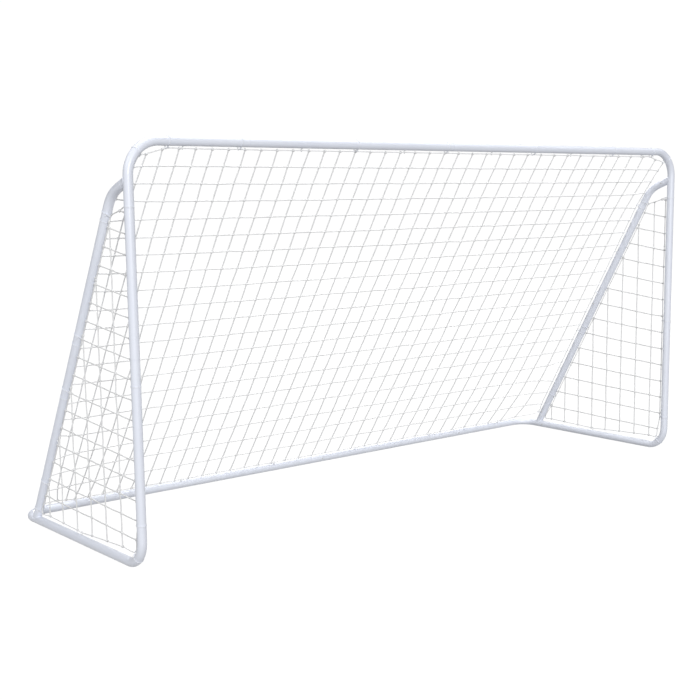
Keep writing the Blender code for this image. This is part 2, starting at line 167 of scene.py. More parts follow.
def powder_coat():
    """White powder coat: fine orange peel, slow tint change, a little dust low on the tube."""
    m, nt, b = new_material("white_powder_coat", (0.79, 0.822, 0.912), 0.36)
    where = node(nt, "ShaderNodeTexCoord").outputs["Object"]
    slow = noise(nt, where, 2.3, 3.0, 0.5)
    tone = ramp(nt, slow, [(0.3, (0.775, 0.808, 0.900)), (0.7, (0.808, 0.838, 0.922))])
    speck = noise(nt, where, 260.0, 2.0, 0.6)
    tone = mix_colour(nt, remap(nt, speck, 0.0, 0.055, 0.52, 0.80), tone, (0.62, 0.65, 0.72))
    sep = node(nt, "ShaderNodeSeparateXYZ")
    nt.links.new(where, sep.inputs["Vector"])
    low = remap(nt, sep.outputs["Z"], 1.0, 0.0, 0.0, 0.030)
    dusty = noise(nt, where, 38.0, 4.0, 0.65)
    dust = node(nt, "ShaderNodeMath", operation="MULTIPLY")
    nt.links.new(low, dust.inputs[0])
    nt.links.new(remap(nt, dusty, 0.0, 0.35, 0.45, 0.75), dust.inputs[1])
    tone = mix_colour(nt, dust.outputs[0], tone, (0.58, 0.57, 0.54))
    nt.links.new(tone, b.inputs["Base Color"])
    nt.links.new(remap(nt, noise(nt, where, 55.0, 3.0, 0.6), 0.31, 0.42, 0.3, 0.7), b.inputs["Roughness"])
    peel = noise(nt, where, 620.0, 2.0, 0.45)
    wave = noise(nt, where, 95.0, 1.0, 0.4)
    first = bump(nt, b, wave, 0.10, 0.0010)
    bump(nt, b, peel, 0.22, 0.00035, after=first)
    b.inputs["Specular IOR Level"].default_value = 0.5
    b.inputs["Coat Weight"].default_value = 0.15
    b.inputs["Coat Roughness"].default_value = 0.22
    return m


def spring_steel():
    m, nt, b = new_material("spring_steel", (0.62, 0.62, 0.60), 0.30, 1.0)
    where = node(nt, "ShaderNodeTexCoord").outputs["Object"]
    lines = noise(nt, where, 900.0, 2.0, 0.5, stretch=(1.0, 0.06, 1.0))
    nt.links.new(remap(nt, lines, 0.22, 0.42, 0.3, 0.7), b.inputs["Roughness"])
    stain = noise(nt, where, 240.0, 4.0, 0.6)
    nt.links.new(ramp(nt, stain, [(0.35, (0.50, 0.49, 0.47)), (0.65, (0.68, 0.68, 0.67))]), b.inputs["Base Color"])
    bump(nt, b, lines, 0.12, 0.0002)
    return m


def nylon():
    m, nt, b = new_material("white_nylon", (0.74, 0.76, 0.78), 0.45)
    where = node(nt, "ShaderNodeTexCoord").outputs["Object"]
    slow = noise(nt, where, 90.0, 3.0, 0.5)
    nt.links.new(ramp(nt, slow, [(0.3, (0.69, 0.71, 0.73)), (0.7, (0.78, 0.79, 0.80))]), b.inputs["Base Color"])
    fine = noise(nt, where, 1500.0, 2.0, 0.5)
    nt.links.new(remap(nt, fine, 0.40, 0.55, 0.3, 0.7), b.inputs["Roughness"])
    bump(nt, b, fine, 0.15, 0.0002)
    b.inputs["Subsurface Weight"].default_value = 0.08
    b.inputs["Subsurface Radius"].default_value = (0.004, 0.004, 0.004)
    return m


def twine(name, light, groove_shade_and_tone, ribs):
    """Twisted white yarn. `ribs` is the strand pitch's wave count in a metre."""
    m, nt, b = new_material(name, light, 0.82)
    where = node(nt, "ShaderNodeTexCoord").outputs["Object"]
    wave = node(nt, "ShaderNodeTexWave", wave_type="BANDS", bands_direction="DIAGONAL", wave_profile="SIN")
    wave.inputs["Scale"].default_value = ribs
    wave.inputs["Distortion"].default_value = 1.5
    wave.inputs["Detail"].default_value = 2.0
    wave.inputs["Detail Scale"].default_value = 2.0
    nt.links.new(where, wave.inputs["Vector"])
    fuzz = noise(nt, where, 1400.0, 3.0, 0.6)
    slow = noise(nt, where, 6.0, 3.0, 0.5)
    # the dark colour fills the grooves between the strands, where the bump sinks: painted shade in the creases; the
    # slow noise below also mixes it in as a darker tone at random
    tone = ramp(nt, wave.outputs["Fac"], [(0.05, groove_shade_and_tone), (0.55, light)])
    tone = mix_colour(nt, remap(nt, slow, 0.0, 0.22, 0.35, 0.75), tone, groove_shade_and_tone)
    nt.links.new(tone, b.inputs["Base Color"])
    nt.links.new(remap(nt, fuzz, 0.72, 0.92, 0.3, 0.7), b.inputs["Roughness"])
    first = bump(nt, b, wave.outputs["Fac"], 0.5, 0.0006)
    bump(nt, b, fuzz, 0.35, 0.0003, after=first)
    b.inputs["Sheen Weight"].default_value = 0.25
    b.inputs["Sheen Roughness"].default_value = 0.5
    return m


PAINT = powder_coat()
STEEL = spring_steel()
NYLON = nylon()
CORD = twine("net_cord", (0.91, 0.912, 0.917), (0.82, 0.823, 0.83), 120.0)
# the side panels' cord is the back panel's cord painted a shade darker: painted shade for the side panels
SHADED_SIDE_CORD = twine("net_cord_side_painted_shade", (0.82, 0.822, 0.827), (0.70, 0.703, 0.71), 120.0)
ROPE = twine("net_border_rope", (0.93, 0.932, 0.938), (0.86, 0.863, 0.87), 80.0)
TIE = twine("net_tie_cord", (0.88, 0.90, 0.95), (0.80, 0.82, 0.87), 160.0)


# ------------------------------------------------------------------ mesh helpers
class Shape:
    """Collects vertices and faces for one mesh."""

    def __init__(self):
        self.v = []
        self.f = []
        self.n = 0

    def add(self, verts, faces):
        verts = np.asarray(verts, float).reshape(-1, 3)
        self.v.append(verts)
        self.f += [tuple(int(i) + self.n for i in f) for f in faces]
        self.n += len(verts)

    def mesh(self, name):
        me = bpy.data.meshes.new(name)
        me.from_pydata(np.concatenate(self.v).tolist(), [], self.f)
        me.validate()
        return me


def piece(name, mesh, mats, angle=35.0):
    obj = bpy.data.objects.new(name, mesh)
    bpy.context.scene.collection.objects.link(obj)
    mesh.materials.clear()
    for m in mats if isinstance(mats, (list, tuple)) else (mats,):
        mesh.materials.append(m)
    mesh.shade_smooth()
    mesh.set_sharp_from_angle(angle=math.radians(angle))
    return obj


def tidy(obj):
    """Faces outward, no doubled vertices."""
    bm = bmesh.new()
    bm.from_mesh(obj.data)
    bmesh.ops.remove_doubles(bm, verts=bm.verts, dist=1e-6)
    bmesh.ops.recalc_face_normals(bm, faces=bm.faces)
    bm.to_mesh(obj.data)
    bm.free()
    return obj


def boolean(obj, cutter, how):
    mod = obj.modifiers.new("cut", "BOOLEAN")
    mod.operation, mod.object, mod.solver = how, cutter, "EXACT"
    dg = bpy.context.evaluated_depsgraph_get()
    mesh = bpy.data.meshes.new_from_object(obj.evaluated_get(dg))
    obj.modifiers.clear()
    old, obj.data = obj.data, mesh
    bpy.data.meshes.remove(old)
    bpy.data.objects.remove(cutter, do_unlink=True)
    if len(obj.data.polygons) < 8:
        raise RuntimeError(f"boolean left nothing of {obj.name}")
    return obj


def ring_faces(rows, sides, closed=False, caps=True):
    faces = []
    spans = list(range(rows - 1)) + ([rows - 1] if closed else [])
    for i in spans:
        a, b = i * sides, ((i + 1) % rows) * sides
        for k in range(sides):
            k2 = (k + 1) % sides
            faces.append((a + k, a + k2, b + k2, b + k))
    if caps and not closed:
        faces.append(tuple(range(sides))[::-1])
        faces.append(tuple((rows - 1) * sides + k for k in range(sides)))
    return faces


def transport(points, closed=False):
    """Tangents and a normal for each point that turns as little as it can."""
    p = np.asarray(points, float)
    if closed:
        t = np.roll(p, -1, 0) - np.roll(p, 1, 0)
    else:
        t = np.gradient(p, axis=0)
    t /= np.linalg.norm(t, axis=1)[:, None]
    n = np.zeros_like(p)
    a = np.array((0.0, 0.0, 1.0)) if abs(t[0][2]) < 0.9 else np.array((1.0, 0.0, 0.0))
    v = a - t[0] * (a @ t[0])
    n[0] = v / np.linalg.norm(v)
    for i in range(1, len(p)):
        v = n[i - 1] - t[i] * (n[i - 1] @ t[i])
        n[i] = v / np.linalg.norm(v)
    return t, n, np.cross(t, n)


def sweep(shape, points, radius, sides=8, closed=False, lobes=0, depth=0.0, pitch=0.03):
    """A round or stranded rope along points."""
    p = np.asarray(points, float)
    t, n, b = transport(p, closed)
    rows = len(p)
    rad = np.broadcast_to(np.asarray(radius, float), (rows,))
    ang = np.arange(sides) * 2 * math.pi / sides
    run = np.concatenate([[0], np.cumsum(np.linalg.norm(np.diff(p, axis=0), axis=1))])
    turn = np.zeros(rows)
    if closed:
        # the frame's own twist round the loop, taken out evenly
        v = n[-1] - t[0] * (n[-1] @ t[0])
        off = math.atan2(v @ b[0], v @ n[0])
        turn -= off * run / run[-1]
    twist = np.zeros(rows)
    if lobes:
        whole = run[-1] + (np.linalg.norm(p[0] - p[-1]) if closed else 0)
        turns = max(1, round(whole / pitch)) if closed else whole / pitch
        twist = run / whole * turns * 2 * math.pi
    a = ang[None, :] + turn[:, None] + twist[:, None]
    r = rad[:, None] * np.ones_like(a)
    if lobes:
        r = rad[:, None] * (1 - depth + depth * np.abs(np.cos(lobes / 2 * ang))[None, :] ** 0.8)
    ring = p[:, None, :] + (np.cos(a) * r)[..., None] * n[:, None, :] + (np.sin(a) * r)[..., None] * b[:, None, :]
    shape.add(ring.reshape(-1, 3), ring_faces(rows, sides, closed))


def smooth_path(points, step, closed=False):
    """Catmull-Rom curve through the points, with about `step` between samples."""
    p = np.asarray(points, float)
    out = []
    n = len(p)
    for i in range(n if closed else n - 1):
        if closed:
            a, b, c, d = p[(i - 1) % n], p[i], p[(i + 1) % n], p[(i + 2) % n]
        else:
            a, b, c, d = p[max(i - 1, 0)], p[i], p[i + 1], p[min(i + 2, n - 1)]
        la, lb, lc = (max(1e-9, np.linalg.norm(q)) ** 0.5 for q in (b - a, c - b, d - c))
        m1 = (b - a) / la if i or closed else (c - b) / lb
        m2 = (d - c) / lc if i + 2 < n or closed else (c - b) / lb
        # centripetal tangents
        t1 = (c - b) / lb + (m1 - (c - a) / (la + lb)) if (i or closed) else (c - b) / lb
        t2 = (c - b) / lb + (m2 - (d - b) / (lb + lc)) if (i + 2 < n or closed) else (c - b) / lb
        t1, t2 = t1 * lb, t2 * lb
        k = max(1, int(round(np.linalg.norm(c - b) / step)))
        for s in np.arange(k) / k:
            out.append(
                (2 * s**3 - 3 * s**2 + 1) * b + (s**3 - 2 * s**2 + s) * t1 + (-2 * s**3 + 3 * s**2) * c + (s**3 - s**2) * t2
            )
    if not closed:
        out.append(p[-1])
    return np.array(out)


def lathe(shape, profile, sides, matrix=None):
    """A solid of revolution about Z from (z, r) pairs, closed at both ends."""
    ang = (np.arange(sides) + 0.5) * 2 * math.pi / sides
    rows = [np.stack([np.cos(ang) * r, np.sin(ang) * r, np.full(sides, z)], 1) for z, r in profile]
    v = np.concatenate(rows)
    if matrix is not None:
        v = v @ np.array(matrix.to_3x3()).T + np.array(matrix.translation)
    shape.add(v, ring_faces(len(profile), sides))


def pose(point, out, axis):
    """Local Z along `out`, local X along the tube's axis."""
    side = out.cross(axis)
    return Matrix.Translation(point) @ Matrix(
        ((axis.x, side.x, out.x), (axis.y, side.y, out.y), (axis.z, side.z, out.z))
    ).to_4x4()


# ------------------------------------------------------------------ tubes
class Route:
    """A centreline in one plane: straight runs joined by arcs."""

    def __init__(self, corners, radii=(), normal=None):
        pts = [Vector(p) for p in corners]
        if normal is None:
            normal = (pts[1] - pts[0]).cross(pts[2] - pts[1])
        self.normal = Vector(normal).normalized()
        self.runs = []
        self.bends = []
        here, total = pts[0], 0.0
        for i, radius in enumerate(radii):
            before = (pts[i + 1] - pts[i]).normalized()
            after = (pts[i + 2] - pts[i + 1]).normalized()
            angle = before.angle(after)
            reach = radius * math.tan(angle / 2)
            start = pts[i + 1] - before * reach
            total = self._straight(here, start, total)
            toward = (self.normal.cross(before)).normalized()
            if toward.dot(after) < 0:
                toward = -toward
            self.runs.append(("arc", total, total + radius * angle, start + toward * radius, -toward, before, radius))
            self.bends.append((total, total + radius * angle, angle))
            total += radius * angle
            here = pts[i + 1] + after * reach
        self.length = self._straight(here, pts[-1], total)

    def _straight(self, a, b, total):
        length = (b - a).length
        self.runs.append(("line", total, total + length, a, (b - a).normalized(), None, 0))
        return total + length

    def at(self, s):
        for kind, low, high, base, axis, ahead, radius in self.runs:
            if s <= high + 1e-9 or high >= self.length - 1e-9:
                if kind == "line":
                    return base + axis * (s - low), axis
                turn = (s - low) / radius
                out = axis * math.cos(turn) + ahead * math.sin(turn)
                return base + out * radius, (ahead * math.cos(turn) - axis * math.sin(turn))

    def nearest(self, point):
        """Where along the route a point lies."""
        best = min(np.linspace(0, self.length, 1200), key=lambda s: (self.at(s)[0] - point).length)
        fine = np.linspace(best - self.length / 1200, best + self.length / 1200, 41)
        return float(min((min(max(s, 0.0), self.length) for s in fine), key=lambda s: (self.at(s)[0] - point).length))

    def stations(self, near=()):
        found = []
        for low, high, angle in self.bends:
            n = max(4, round(angle / math.radians(3.75)))
            found += [low + (high - low) * k / n for k in range(n + 1)]
        for kind, low, high, *_ in self.runs:
            if kind == "line":
                n = max(1, round((high - low) / 0.20))
                found += [low + (high - low) * k / n for k in range(1, n)]
        for s in near:
            found += [s - 0.013, s - 0.0065, s + 0.0065, s + 0.013]
        found = sorted(s for s in found if 0 < s < self.length)
        kept = []
        for s in found:
            if not kept or s - kept[-1] > 0.0015:
                kept.append(s)
        return kept


def profile(route, marks, stations):
    out = []
    for (s0, r0), (s1, r1) in zip(marks, marks[1:]):
        out.append((s0, r0))
        if abs(r0 - r1) < 1e-9:
            low, high = min(s0, s1), max(s0, s1)
            inside = [s for s in stations if low + 0.0008 < s < high - 0.0008]
            out += [(s, r0) for s in (inside if s1 > s0 else reversed(inside))]
    out.append(marks[-1])
    return out


def tube_shape(route, start, end, outer=R, spigot=(SPIGOT, SPIGOT), near=(), sides=SIDES):
    """A hollow tube with broken edges. `start` and `end` say whether that end is a socket, a spigot or plain."""
    total = route.length
    e = 0.0005
    out, inn = [], []
    if start == "spigot":
        seam = spigot[0]
        out += [(0, R_MALE - 0.001), (0.002, R_MALE), (seam, R_MALE), (seam, outer - e), (seam + e, outer)]
        inn += [(0, R_BORE), (seam + 0.001, R_BORE), (seam + 0.006, R_IN)]
    else:
        out += [(0, outer - e), (e, outer)] if start == "socket" else [(0, outer)]
        inn += [(0, R_IN)]
    if end == "spigot":
        seam = total - spigot[1]
        out += [(seam - e, outer), (seam, outer - e), (seam, R_MALE), (total - 0.002, R_MALE), (total, R_MALE - 0.001)]
        if seam < e:
            out = [(0, R_MALE)] + out[-2:]
        inn += [(seam - 0.006, R_IN), (seam - 0.001, R_BORE), (total, R_BORE)]
    else:
        out += [(total - e, outer), (total, outer - e)] if end == "socket" else [(total, outer)]
        inn += [(total, R_IN)]
    stations = route.stations(near)
    rows = profile(route, out, stations) + profile(route, inn[::-1], stations)
    ang = (np.arange(sides) + 0.5) * 2 * math.pi / sides
    verts = []
    for s, r in rows:
        point, tangent = route.at(s)
        across = np.array(route.normal.cross(tangent).normalized())
        normal = np.array(route.normal)
        verts.append(np.array(point) + r * (np.cos(ang)[:, None] * across + np.sin(ang)[:, None] * normal))
    shape = Shape()
    shape.add(np.concatenate(verts), ring_faces(len(rows), sides, closed=True))
    return shape


def rod_shape(route, radius, sides=SIDES):
    ang = (np.arange(sides) + 0.5) * 2 * math.pi / sides
    verts = []
    for s in (0, route.length):
        point, tangent = route.at(s)
        across = np.array(route.normal.cross(tangent).normalized())
        verts.append(np.array(point) + radius * (np.cos(ang)[:, None] * across + np.sin(ang)[:, None] * np.array(route.normal)))
    shape = Shape()
    shape.add(np.concatenate(verts), ring_faces(2, sides))
    return shape


def weld_bead(shape, root, direction, parent_axis, radius=0.0023):
    """The rippled bead where a stub sits on its tube."""
    a, d = parent_axis.normalized(), direction.normalized()
    e1 = a - d * a.dot(d)
    e1.normalize()
    e2 = d.cross(e1)
    pts, rad = [], []
    n = 144
    for k in range(n):
        th = 2 * math.pi * k / n
        w = (e1 * math.cos(th) + e2 * math.sin(th)) * (R - 0.0003)
        wp = w - a * w.dot(a)
        dp = d - a * d.dot(a)
        A, B, C = dp.dot(dp), 2 * wp.dot(dp), wp.dot(wp) - R * R
        u = (-B + math.sqrt(max(0.0, B * B - 4 * A * C))) / (2 * A)
        pts.append(root + w + d * u)
        rad.append(radius * (1 + 0.10 * math.sin(th * 30) + 0.06 * math.sin(th * 7 + 1.3)))
    sweep(shape, np.array([tuple(p) for p in pts]), np.array(rad), sides=10, closed=True)


def stay_points(x):
    foot = Vector((x, Y_FRONT + STAY_FOOT, Z_BASE))
    rise = STAY_KNEE - Z_BASE
    return foot, foot + Vector((0, -STAY_LEAN * rise, rise)), Vector((x, Y_FRONT, STAY_HEAD))


def hole_cutter(holes):
    shape = Shape()
    for point, out, axis, radius in holes:
        sides = 24 if radius > 0.0035 else 20
        m = pose(point, out, axis)
        lathe(shape, [(0.010, radius), (0.030, radius)], sides, m)
    me = shape.mesh("holes")
    obj = bpy.data.objects.new("holes", me)
    bpy.context.scene.collection.objects.link(obj)
    return tidy(obj)


buttons, hooks, holes = [], [], {}


def add_button(name, tubes, point, out, axis):
    point, out, axis = Vector(point), Vector(out).normalized(), Vector(axis).normalized()
    buttons.append((name, point, out, axis))
    for t in tubes:
        holes.setdefault(t, []).append((point, out, axis, PIN_HOLE))


def add_hook(name, tube, point, out, axis):
    point, out, axis = Vector(point), Vector(out).normalized(), Vector(axis).normalized()
    hooks.append((name, point, out, axis))
    holes.setdefault(tube, []).append((point, out, axis, HOOK_HOLE))


plans = {}  # tube name: (route, start, end, spigots, stubs)
for side, sign in (("left", -1), ("right", 1)):
    x = sign * X_SIDE
    inner = Vector((-sign, 0, 0))
    foot, knee, head = stay_points(x)
    up_stay = (knee - foot).normalized()
    to_knee = (knee - head).normalized()
    corner, base, rear = f"crossbar_corner_{side}", f"base_side_{side}", f"rear_corner_{side}"
    lower, upper = f"stay_lower_{side}", f"stay_upper_{side}"

    plans[corner] = (
        Route([(x, Y_FRONT, UPRIGHT_JOINT + GAP), (x, Y_FRONT, Z_TOP), (sign * (CROSS_JOINT - SPIGOT), Y_FRONT, Z_TOP)], (TOP_RADIUS,)),
        "socket", "spigot", (SPIGOT, SPIGOT), (head, to_knee, HEAD_STUB, HEAD_SPIGOT, UP),
    )
    plans[base] = (
        Route([(x, Y_FRONT + SIDE_SEAM - GAP, Z_BASE), (x, Y_FRONT, Z_BASE), (x, Y_FRONT, UPRIGHT_JOINT + SPIGOT)], (FOOT_RADIUS,)),
        "socket", "spigot", (SPIGOT, SPIGOT), (foot, up_stay, FOOT_STUB, SPIGOT, Vector((0, 1, 0))),
    )
    plans[rear] = (
        Route([(sign * (CROSS_JOINT - SPIGOT), Y_REAR, Z_BASE), (x, Y_REAR, Z_BASE), (x, Y_FRONT + SIDE_SEAM - SIDE_SPIGOT, Z_BASE)], (REAR_RADIUS,)),
        "spigot", "spigot", (SPIGOT, SIDE_SPIGOT), None,
    )
    plans[lower] = (
        Route([foot + up_stay * (FOOT_STUB + GAP), foot + up_stay * (STAY_JOINT + SPIGOT)], normal=(1, 0, 0)),
        "socket", "spigot", (SPIGOT, SPIGOT), None,
    )
    plans[upper] = (
        Route([foot + up_stay * (STAY_JOINT + GAP), knee, head + to_knee * (HEAD_STUB + GAP)], (STAY_RADIUS,)),
        "socket", "socket", (SPIGOT, SPIGOT), None,
    )
    back, front, along = Vector((0, 1, 0)), Vector((0, -1, 0)), Vector((1, 0, 0))
    cross_x = sign * (CROSS_JOINT - BUTTON_SET)
    add_button(f"button_crossbar_{side}", (corner, f"crossbar_tube_{side}"), (cross_x, Y_FRONT, Z_TOP), back, along)
    add_button(f"button_rear_{side}", (rear, f"rear_tube_{side}"), (cross_x, Y_REAR, Z_BASE), front, along)
    add_button(f"button_upright_{side}", (corner, base), (x, Y_FRONT, UPRIGHT_JOINT + BUTTON_SET), back, UP)
    add_button(f"button_side_{side}", (base, rear), (x, Y_FRONT + SIDE_SEAM - 0.082, Z_BASE), inner, back)
    add_button(f"button_stay_foot_{side}", (base, lower), foot + up_stay * (FOOT_STUB + BUTTON_SET), inner, up_stay)
    add_button(f"button_stay_middle_{side}", (lower, upper), foot + up_stay * (STAY_JOINT + BUTTON_SET), inner, up_stay)
    add_button(f"button_stay_head_{side}", (corner, upper), head + to_knee * (HEAD_STUB + 0.022), inner, -to_knee)

    hang = Vector((0, 0.5, -math.sqrt(0.75)))
    lift = Vector((0, -0.5, math.sqrt(0.75)))
    outward = Vector((0, up_stay.z, -up_stay.y))
    rear_in = outward * math.sqrt(0.75) + inner * 0.5
    for number, (at, top_tube, rear_tube) in enumerate(
        ((0.30, f"crossbar_tube_{side}", f"rear_tube_{side}"), (0.92, f"crossbar_tube_{side}", f"rear_tube_{side}"), (1.54, corner, rear)), 1
    ):
        add_hook(f"hook_crossbar_{side}_{number}", top_tube, (sign * at, Y_FRONT, Z_TOP), hang, along)
        add_hook(f"hook_rear_{side}_{number}", rear_tube, (sign * at, Y_REAR, Z_BASE), lift, along)
    for number, (at, tube) in enumerate(((0.45, lower), (1.35, upper)), 1):
        add_hook(f"hook_stay_back_{side}_{number}", tube, foot + up_stay * at, rear_in, up_stay)
        add_hook(f"hook_stay_side_{side}_{number}", tube, foot + up_stay * (at + 0.06), -outward, up_stay)
    add_hook(f"hook_upright_{side}_1", base, (x, Y_FRONT, 0.50), back, UP)
    add_hook(f"hook_upright_{side}_2", corner, (x, Y_FRONT, 1.25), back, UP)
    add_hook(f"hook_base_{side}", base, (x, Y_FRONT + 0.56, Z_BASE), UP, back)

for place_name, y, z, out in (("crossbar", Y_FRONT, Z_TOP, (0, 1, 0)), ("rear", Y_REAR, Z_BASE, (0, -1, 0))):
    plans[f"{place_name}_tube_left"] = (
        Route([(-CROSS_JOINT + GAP, y, z), (SPIGOT, y, z)], normal=(0, 1, 0)), "socket", "spigot", (SPIGOT, SPIGOT), None,
    )
    plans[f"{place_name}_tube_right"] = (
        Route([(GAP, y, z), (CROSS_JOINT - GAP, y, z)], normal=(0, 1, 0)), "socket", "socket", (SPIGOT, SPIGOT), None,
    )
    add_button(f"button_{place_name}_middle", (f"{place_name}_tube_left", f"{place_name}_tube_right"), (BUTTON_SET, y, z), out, (1, 0, 0))


def as_object(name, shape):
    obj = bpy.data.objects.new(name, shape.mesh(name))
    bpy.context.scene.collection.objects.link(obj)
    return tidy(obj)


def build_tubes():
    for name, (route, start, end, spigot, stub) in plans.items():
        near = [route.nearest(p) for p, *_ in holes.get(name, []) if (route.at(route.nearest(p))[0] - p).length < 0.002]
        obj = as_object(name + "_tube", tube_shape(route, start, end, spigot=spigot, near=near))
        bead = None
        if stub:
            root, direction, length, plug, parent = stub
            stub_route = Route([root, root + direction * (length + plug)], normal=(1, 0, 0))
            stub_obj = as_object("stub", tube_shape(stub_route, "plain", "spigot", outer=R - 0.0003, spigot=(0, plug),
                                                    near=[stub_route.nearest(p) for p, *_ in holes.get(name, []) if (stub_route.at(stub_route.nearest(p))[0] - p).length < 0.002]))
            rail = Route([root - parent * 0.12, root + parent * (0.012 if parent.z > 0.5 else 0.12)], normal=(1, 0, 0))
            boolean(stub_obj, as_object("saddle", rod_shape(rail, R - WALL / 2)), "DIFFERENCE")
            boolean(obj, stub_obj, "UNION")
            bead = Shape()
            weld_bead(bead, root, direction, parent)
        if name in holes:
            boolean(obj, hole_cutter(holes[name]), "DIFFERENCE")
        if bead is not None:
            bead_obj = as_object("bead", bead)
            bm = bmesh.new()
            bm.from_mesh(obj.data)
            bm.from_mesh(bead_obj.data)
            bm.to_mesh(obj.data)
            bm.free()
            bpy.data.objects.remove(bead_obj, do_unlink=True)
        obj.data.materials.clear()
        obj.data.materials.append(PAINT)
        obj.data.shade_smooth()
        obj.data.set_sharp_from_angle(angle=math.radians(28))
        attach(obj, "frame")
        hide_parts(name)


build_tubes()


# ------------------------------------------------------------------ snap buttons
def ribbon(shape, points, half, thick):
    """A bent strip with rounded edges, in the local XZ plane."""
    p = np.asarray(points, float)
    t = np.gradient(p, axis=0)
    t /= np.linalg.norm(t, axis=1)[:, None]
    n = np.stack([-t[:, 2], np.zeros(len(p)), t[:, 0]], 1)
    h = thick / 2
    e = 0.3 * thick
    section = [(half - e, h), (half, h - e), (half, -h + e), (half - e, -h), (-half + e, -h), (-half, -h + e), (-half, h - e), (-half + e, h)]
    rows = [q + np.array([[0, y, 0] + n[i] * z for y, z in section]) for i, q in enumerate(p)]
    shape.add(np.concatenate(rows), ring_faces(len(p), len(section)))


def button_mesh():
    thick, half = 0.0008, 0.0045
    lie = R_BORE - GAP - thick / 2
    line = [(-0.009, lie), (0.002, lie), (0.012, lie), (0.0158, lie - 0.0011), (0.0178, lie - 0.0036), (0.0183, lie - 0.0070), (0.0172, lie - 0.0105), (0.0145, lie - 0.0128), (0.002, -0.0090), (-0.010, -0.0108)]
    path = smooth_path([(a, 0, b) for a, b in line], 0.0012)
    shape = Shape()
    ribbon(shape, path, half, thick)
    tip = R + PIN_PROUD
    r = PIN_RADIUS - 0.0001
    dome = [(tip - 0.0024 + 0.0024 * math.sin(a), r - 0.0026 * (1 - math.cos(a))) for a in np.linspace(0, math.pi / 2, 9)]
    lathe(shape, [(lie - 0.0009, 0.0021), (lie - 0.0007, 0.0027), (lie - 0.0003, 0.0029), (lie, r)] + dome + [(tip + 0.00003, 0.0006)], 32)
    return shape.mesh("snap_button_detail")


detail = button_mesh()
for name, point, out, axis in buttons:
    me = detail.copy()
    me.transform(pose(point, out, axis))
    obj = piece(name + "_detail", me, STEEL, 40)
    tidy(obj)
    obj.data.shade_smooth()
    obj.data.set_sharp_from_angle(angle=math.radians(40))
    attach(obj, "snap_" + name)
    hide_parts(name)


# ------------------------------------------------------------------ net hooks
def hook_detail():
    mm = 0.001
    reach = NET_REACH / mm
    shape = Shape()
    stem = [(17.5, 2.2), (17.8, 2.6), (21.15, 2.6), (21.3, 4.6), (21.5, 4.8), (22.3, 4.8), (22.75, 4.5), (22.95, 3.8), (23.2, 2.9), (23.9, 2.2), (24.5, 1.85), (reach - 9, 1.8)]
    lathe(shape, [(z * mm, r * mm) for z, r in stem], 24)
    eye = [(reach - 10.5, 0), (reach - 8.0, -0.9), (reach - 5.6, -3.0), (reach - 3.0, -4.35), (reach + 0.6, -4.8), (reach + 3.4, -3.3), (reach + 4.85, 0), (reach + 4.2, 3.0), (reach + 1.6, 4.7), (reach - 0.8, 5.0)]
    path = smooth_path([(0, y * mm, z * mm) for z, y in eye], 0.0009)
    n = len(path)
    taper = np.clip((n - 1 - np.arange(n)) / 3.0, 0.35, 1) ** 0.5
    rad = np.interp(np.arange(n), [0, n * 0.35, n - 1], [1.8, 1.65, 1.5]) * mm * taper
    sweep(shape, path, rad, sides=14)
    return shape.mesh("net_hook_detail")


hook_shape = hook_detail()
for name, point, out, axis in hooks:
    me = hook_shape.copy()
    me.transform(pose(point, out, axis))
    obj = piece(name + "_detail", me, NYLON, 40)
    tidy(obj)
    obj.data.shade_smooth()
    obj.data.set_sharp_from_angle(angle=math.radians(40))
    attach(obj, "frame")
    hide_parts(name)


# ------------------------------------------------------------------ net
CORD_R = 0.0032
ROPE_R = 0.0028
LOAD = 0.0016  # weight on a cell's knot over a cord's pull
rng = np.random.default_rng(7)


